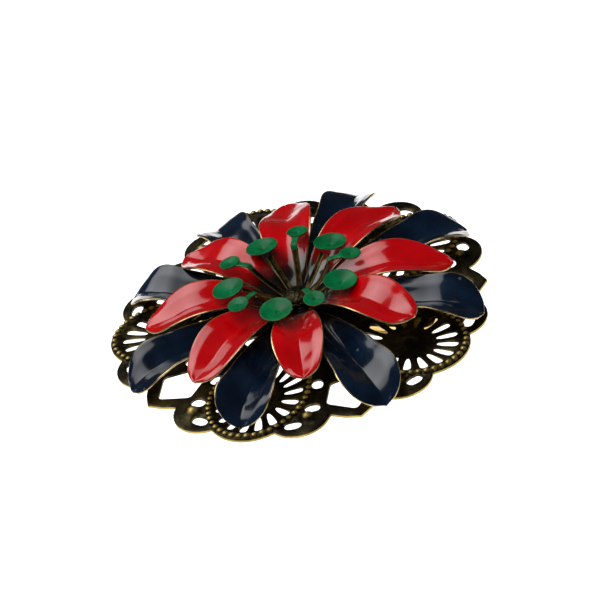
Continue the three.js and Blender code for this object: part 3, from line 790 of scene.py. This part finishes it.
def buildPetals(layer):
    parts = []
    for k, bend in enumerate(layer["bends"]):
        points, faces, bare = sheetFromGrid(petalMiddle(layer, bend), layer["sheet"])
        angle = math.radians(layer["firstAngle"] + 45 * k + bend[0])
        parts.append((turned(points, angle), faces, bare))
    ring, faces = flatRing(1.2, layer["hub"], layer["hubHeight"], layer["sheet"])
    parts.append((ring, faces, np.ones(len(ring)) * 0.0))
    points, faces, bare = joined(parts)
    piece = newMesh(layer["name"], points, faces, 60)
    addMask(piece, "bare", bare)
    pointOutwards(piece)
    return piece


for layer, node, slotName, material in ((bluePetals, "blue_petals", "blue_enamel", blueEnamel),
                                        (redPetals, "red_petals", "red_enamel", redEnamel)):
    petals = buildPetals(layer)
    finishPiece(petals, "brooch", [node], [material])
    print(layer["name"], len(petals.data.polygons), "faces")


# Small cups end in a flat painted neck, large ones sit straight on their arms
spray = {
    "firstAngle": 26.4, "pairs": 5, "hub": 2.5, "seat": 2.48, "sheet": 0.4, "armWidth": 0.9, "channel": 0.2,
    "turn": 2.2, "lean": (-0.5, -0.26), "front": (0.46, -0.89), "lift": 0.035, "liftFrom": -5.0,
    "dimple": 0.3, "dimpleDepth": 0.18,
}
smallCup = {"radius": 1.62, "ring": 9.9, "height": 8.0, "depth": 0.3, "tilt": 0.15,
            "neck": 1.7, "neckWidth": 1.0}
largeCup = {"radius": 2.5, "ring": 9.1, "height": 7.4, "depth": 0.7, "tilt": 0.12, "neck": 0.0}


# a channelled strip along a path of distances and heights
def sprayStrip(path, width, flare, channel):
    line = throughPoints(path, 40)
    across = np.linspace(-1, 1, 11)
    tangent = np.gradient(line, axis=0)
    tangent /= np.linalg.norm(tangent, axis=1)[:, None]
    wide = 0.5 * width * (1 + flare * smoothstep(line[:, 0], path[-1][0] - 0.7, path[-1][0]))
    deep = channel * smoothstep(line[:, 0], 2.3, 3.2)
    dip = deep[:, None] * (np.cos(across * math.pi / 2) ** 2)[None, :]
    grid = np.zeros((len(line), len(across), 3))
    grid[:, :, 0] = line[:, :1] + tangent[:, 1:] * dip
    grid[:, :, 1] = wide[:, None] * across[None, :]
    grid[:, :, 2] = line[:, 1:] - tangent[:, :1] * dip
    return sheetFromGrid(grid, spray["sheet"] * 0.8)


# the bronze arm from the hub disc up to its cup, and the painted neck of a small cup
def sprayArm(cup):
    middle = spray["seat"] + spray["sheet"] / 2
    turn = spray["turn"]
    root = [(1.4, middle), (turn - 0.4, middle), (turn + 0.25, middle + 0.35)]
    if not cup["neck"]:
        end = (cup["ring"] - 0.75 * cup["radius"], cup["height"] - 0.8 * cup["depth"] - 0.4)
        half = (0.5 * (turn + end[0]), 0.5 * (middle + end[1]))
        return sprayStrip(root + [half, end], spray["armWidth"], 0.2, spray["channel"]), None
    bend = (cup["ring"] - cup["radius"] - cup["neck"], cup["height"] - 0.25)
    half = (turn + 0.6 * (bend[0] - turn), middle + 0.52 * (bend[1] - middle))
    arm = sprayStrip(root + [half, (bend[0] - 0.2, bend[1] - 0.45)], spray["armWidth"], 0.1, spray["channel"])
    end = (cup["ring"] - 0.8 * cup["radius"], cup["height"] - 0.12)
    crest = (0.5 * (bend[0] + end[0]), bend[1] + 0.08)
    neck = sprayStrip([(bend[0] - 0.3, bend[1] - 0.62), bend, crest, end], cup["neckWidth"], 0.4, 0.0)
    return arm, neck


# a shallow cone-shaped dish with a dimple and a rounded rim, tilted outwards at the end of its arm
def sprayCup(cup):
    r, d, t = cup["radius"], cup["depth"], spray["sheet"] * 0.8
    steps = (0.2, 0.3, 0.42, 0.56, 0.7, 0.82, 0.92, 1)
    dimple, low = spray["dimple"], spray["dimpleDepth"]
    profile = [(0, -low), (dimple * 0.45, -low * 0.8), (dimple * 0.8, -low * 0.25), (dimple * 1.1, 0.03)]
    profile += [(r * s * 0.97, d * s**1.25) for s in steps if r * s > dimple * 1.3]
    rim = [(r, d - 0.03), (r + 0.01, d - 0.13), (r - 0.05, d - 0.22)]
    under = [(r * s * 0.96, d * s**1.25 - t) for s in (0.95, 0.8, 0.6, 0.4, 0.2, 0.08)] + [(0, -t - low)]
    points, faces = lathed(profile + rim + under, 44, False)
    p = np.array(points)
    away = np.hypot(p[:, 0], p[:, 1]) / r
    bare = np.where(p[:, 2] < d * away**1.25 - 0.1, 1.0, 0.0) * (away > 0.25)
    bare = np.maximum(bare, np.where(p[:, 2] < -t, 1.0, 0.0))
    c, s = math.cos(cup["tilt"]), math.sin(cup["tilt"])
    x, z = p[:, 0].copy(), p[:, 2].copy()
    p[:, 0] = x * c + z * s + cup["ring"]
    p[:, 2] = -x * s + z * c + cup["height"] - cup["depth"]
    return p, faces, bare


# copies of a piece turned evenly about the flower's axis
def turnedCopiesTree(material):
    tree = bpy.data.node_groups.new("turnedCopies", "GeometryNodeTree")
    tree.interface.new_socket("Geometry", in_out="INPUT", socket_type="NodeSocketGeometry")
    tree.interface.new_socket("Copies", in_out="INPUT", socket_type="NodeSocketInt").default_value = 5
    tree.interface.new_socket("First Angle", in_out="INPUT", socket_type="NodeSocketFloat")
    tree.interface.new_socket("Geometry", in_out="OUTPUT", socket_type="NodeSocketGeometry")
    source, sink = tree.nodes.new("NodeGroupInput"), tree.nodes.new("NodeGroupOutput")
    spots = addNode(tree, "GeometryNodeMeshLine", inputs={"Offset": (0, 0, 0)})
    toPoints = tree.nodes.new("GeometryNodeMeshToPoints")
    index = tree.nodes.new("GeometryNodeInputIndex")
    part = addNode(tree, "ShaderNodeMath", operation="DIVIDE", inputs={0: 2 * math.pi})
    times = addNode(tree, "ShaderNodeMath", operation="MULTIPLY")
    total = addNode(tree, "ShaderNodeMath", operation="ADD")
    turn = tree.nodes.new("ShaderNodeCombineXYZ")
    instance = tree.nodes.new("GeometryNodeInstanceOnPoints")
    realize = tree.nodes.new("GeometryNodeRealizeInstances")
    paint = tree.nodes.new("GeometryNodeSetMaterial")
    paint.inputs["Material"].default_value = material
    link = tree.links.new
    link(source.outputs["Copies"], spots.inputs["Count"])
    link(source.outputs["Copies"], part.inputs[1])
    link(part.outputs[0], times.inputs[0])
    link(index.outputs[0], times.inputs[1])
    link(times.outputs[0], total.inputs[0])
    link(source.outputs["First Angle"], total.inputs[1])
    link(total.outputs[0], turn.inputs["Z"])
    link(spots.outputs["Mesh"], toPoints.inputs["Mesh"])
    link(toPoints.outputs["Points"], instance.inputs["Points"])
    link(source.outputs["Geometry"], instance.inputs["Instance"])
    link(turn.outputs[0], instance.inputs["Rotation"])
    link(instance.outputs["Instances"], realize.inputs["Geometry"])
    link(realize.outputs["Geometry"], paint.inputs["Geometry"])
    link(paint.outputs["Geometry"], sink.inputs["Geometry"])
    return tree


# one pair of stamens from the given parts, copied round the hub and leant a little to one side
def buildStamens(name, parts, material):
    points, faces, masks = joined(parts)
    pair = newMesh(name + "Pair", points, faces, 60)
    addMask(pair, "bare", masks)
    addMask(pair, "rub", 0.46 + np.array(masks) * 0.4)
    pointOutwards(pair)
    piece = applyNodes(pair, turnedCopiesTree(material), {
        "Copies": spray["pairs"], "First Angle": math.radians(spray["firstAngle"])}, name)
    seat = plateFront + spray["seat"] * mm
    rise = (largeCup["height"] - spray["seat"]) * mm
    for vertex in piece.data.vertices:
        risen = max(0, vertex.co.z - seat) / rise
        forward = spray["front"][0] * vertex.co.x + spray["front"][1] * vertex.co.y
        vertex.co.x += risen * spray["lean"][0] * mm
        vertex.co.y += risen * spray["lean"][1] * mm
        vertex.co.z += risen * max(0, forward - spray["liftFrom"] * mm) * spray["lift"]
    return piece


bronzeParts, greenParts = [], []
for place, cup in enumerate((smallCup, largeCup)):
    arm, neck = sprayArm(cup)
    for part, store in ((arm, bronzeParts), (neck, greenParts), (sprayCup(cup), greenParts)):
        if part:
            store.append((turned(part[0], math.radians(36 * place)), part[1], part[2]))
stamenArms = buildStamens("stamenArms", bronzeParts, antiqueBronze)
stamenCups = buildStamens("stamenCups", greenParts, greenEnamel)
hubPoints, hubFaces = flatRing(1.2, spray["hub"], spray["seat"] + spray["sheet"] / 2, spray["sheet"])
stamenHub = newMesh("stamenHub", hubPoints, hubFaces, 40)
addMask(stamenHub, "rub", np.full(len(hubPoints), 0.2))
pointOutwards(stamenHub)
finishPiece(stamenArms, "brooch", [], [antiqueBronze])
finishPiece(stamenHub, "brooch", [], [antiqueBronze])
finishPiece(stamenCups, "brooch", ["stamen_spray"], [greenEnamel])
print("stamens:", len(stamenArms.data.polygons) + len(stamenCups.data.polygons), "faces")


rivet = {"head": 2.2, "height": 0.95, "seat": 2.9, "grain": 0.09,
         "shank": 1.1, "tail": 1.75, "tailHeight": 0.5}


def buildRivet():
    arc = [(rivet["head"] * math.cos(a), rivet["seat"] + rivet["height"] * math.sin(a))
           for a in np.radians(np.linspace(3, 88, 22))]
    low = (barBack - plateFront) / mm
    tail = [(rivet["tail"] * s, low - rivet["tailHeight"] * math.sqrt(1 - 0.85 * s * s))
            for s in (0.2, 0.45, 0.7, 0.9, 1)]
    shank = [(rivet["tail"], low - 0.03), (rivet["shank"], low - 0.02),
             (rivet["shank"], rivet["seat"]), (rivet["head"] - 0.1, rivet["seat"])]
    top = (0, rivet["seat"] + rivet["height"])
    section = [(0, low - rivet["tailHeight"])] + tail + shank + arc + [top]
    points, faces = lathed(section, 72, False)
    grained = []
    for x, y, z in points:
        rough = smoothstep(z, rivet["seat"] + 0.05, rivet["seat"] + 0.3)
        lump = noise.noise(Vector((x, y, z)) * 2.6) + 0.6 * noise.noise(Vector((x, y, z)) * 5.5)
        grained.append((x, y, z + float(rough) * rivet["grain"] * lump))
    piece = newMesh("centreRivet", grained, faces, 60)
    addMask(piece, "rub", np.zeros(len(grained)))
    pointOutwards(piece)
    return piece


centreRivet = buildRivet()
finishPiece(centreRivet, "brooch", ["centre_rivet"], [antiqueBronze])

collarPoints, collarFaces = flatRing(1.2, 3.0, 0.82, 1.6)
centreCollar = newMesh("centreCollar", collarPoints, collarFaces, 40)
addMask(centreCollar, "rub", np.zeros(len(collarPoints)))
pointOutwards(centreCollar)
finishPiece(centreCollar, "brooch", ["centre_collar"], [antiqueBronze])
print("centre made")


for name, material in (("pin_bar", rawBrass), ("hinge_rivet", rawBrass), ("pin_stem", pinSteel),
                       ("catch_housing", rawBrass), ("catch_rotor", rawBrass)):
    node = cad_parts[name]
    if not node.material_slots:
        node.data.materials.append(None)
    for holder in node.material_slots:
        holder.material = material


# The floor is low enough for the open pin stem to clear it
floor = {"size": 0.9, "clearance": 0.002}


def makeFloor():
    stemLow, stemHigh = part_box("pin_stem")
    reach = stemHigh[0] - stemLow[0]
    bpy.ops.mesh.primitive_plane_add(size=floor["size"], location=(0, 0, -reach - floor["clearance"]))
    plane = bpy.context.object
    plane.name = "studioFloor"
    material, tree, shader = newMaterial("paleFloor")
    shader.inputs["Base Color"].default_value = (0.9, 0.9, 0.9, 1)
    shader.inputs["Roughness"].default_value = 0.9
    shader.inputs["Emission Color"].default_value = (1, 1, 1, 1)
    shader.inputs["Emission Strength"].default_value = 1.0
    plane.data.materials.append(material)
    return plane


# a square soft box at the given bearing, aimed at the flower
def softLight(name, azimuth, elevation, distance, size, power, spread=180):
    data = bpy.data.lights.new(name, "AREA")
    data.shape = "RECTANGLE"
    data.size, data.size_y = size
    data.energy = power
    data.spread = math.radians(spread)
    lamp = bpy.data.objects.new(name, data)
    scene.collection.objects.link(lamp)
    a, e = math.radians(azimuth), math.radians(elevation)
    out = Vector((math.sin(a) * math.cos(e), -math.cos(a) * math.cos(e), math.sin(e)))
    lamp.location = Vector((0, 0, plateFront)) + out * distance
    lamp.rotation_euler = (-out).to_track_quat("-Z", "Y").to_euler()
    return lamp


makeFloor()
softLight("keyBox", -105, 58, 0.45, (0.40, 0.40), 0.36, 80)
softLight("bounceFill", 20, 65, 0.6, (0.35, 0.35), 1.6).visible_glossy = False


# A dim room lights the brooch, and the camera sees a pale wall behind it
def makeRoom():
    room = bpy.data.worlds.new("studio")
    scene.world = room
    room.use_nodes = True
    tree = room.node_tree
    dimRoom = tree.nodes["Background"]
    dimRoom.inputs["Color"].default_value = (1, 1, 1, 1)
    dimRoom.inputs["Strength"].default_value = 0.04
    paleWall = addNode(tree, "ShaderNodeBackground", inputs={"Color": (1, 1, 1, 1), "Strength": 1.0})
    seen = tree.nodes.new("ShaderNodeLightPath").outputs["Is Camera Ray"]
    either = tree.nodes.new("ShaderNodeMixShader")
    tree.links.new(seen, either.inputs[0])
    tree.links.new(dimRoom.outputs[0], either.inputs[1])
    tree.links.new(paleWall.outputs[0], either.inputs[2])
    tree.links.new(either.outputs[0], tree.nodes["World Output"].inputs["Surface"])


makeRoom()
scene.view_settings.view_transform = "Standard"
print("light and floor made")


# The camera's bearing, height, distance and roll, and the point it is aimed at
lens = {"azimuth": 27.15, "elevation": 35.95, "distance": 384.1, "roll": 15.0, "focal": 152.0,
        "aim": (-0.20, 0.97, 1.33)}


def makeCamera():
    data = bpy.data.cameras.new("camera")
    data.lens = lens["focal"]
    data.sensor_width = 36.0
    data.clip_start, data.clip_end = 0.01, 5.0
    camera = bpy.data.objects.new("camera", data)
    scene.collection.objects.link(camera)
    a, e = math.radians(lens["azimuth"]), math.radians(lens["elevation"])
    back = Vector((math.sin(a) * math.cos(e), -math.cos(a) * math.cos(e), math.sin(e)))
    middle = Vector((0, 0, plateFront))
    camera.location = middle + back * lens["distance"] * mm
    aim = middle + Vector(lens["aim"]) * mm
    look = (aim - camera.location).to_track_quat("-Z", "Y").to_matrix().to_4x4()
    spin = Matrix.Rotation(math.radians(-lens["roll"]), 4, "Z")
    camera.matrix_world = Matrix.Translation(camera.location) @ look @ spin
    scene.camera = camera
    return camera


makeCamera()
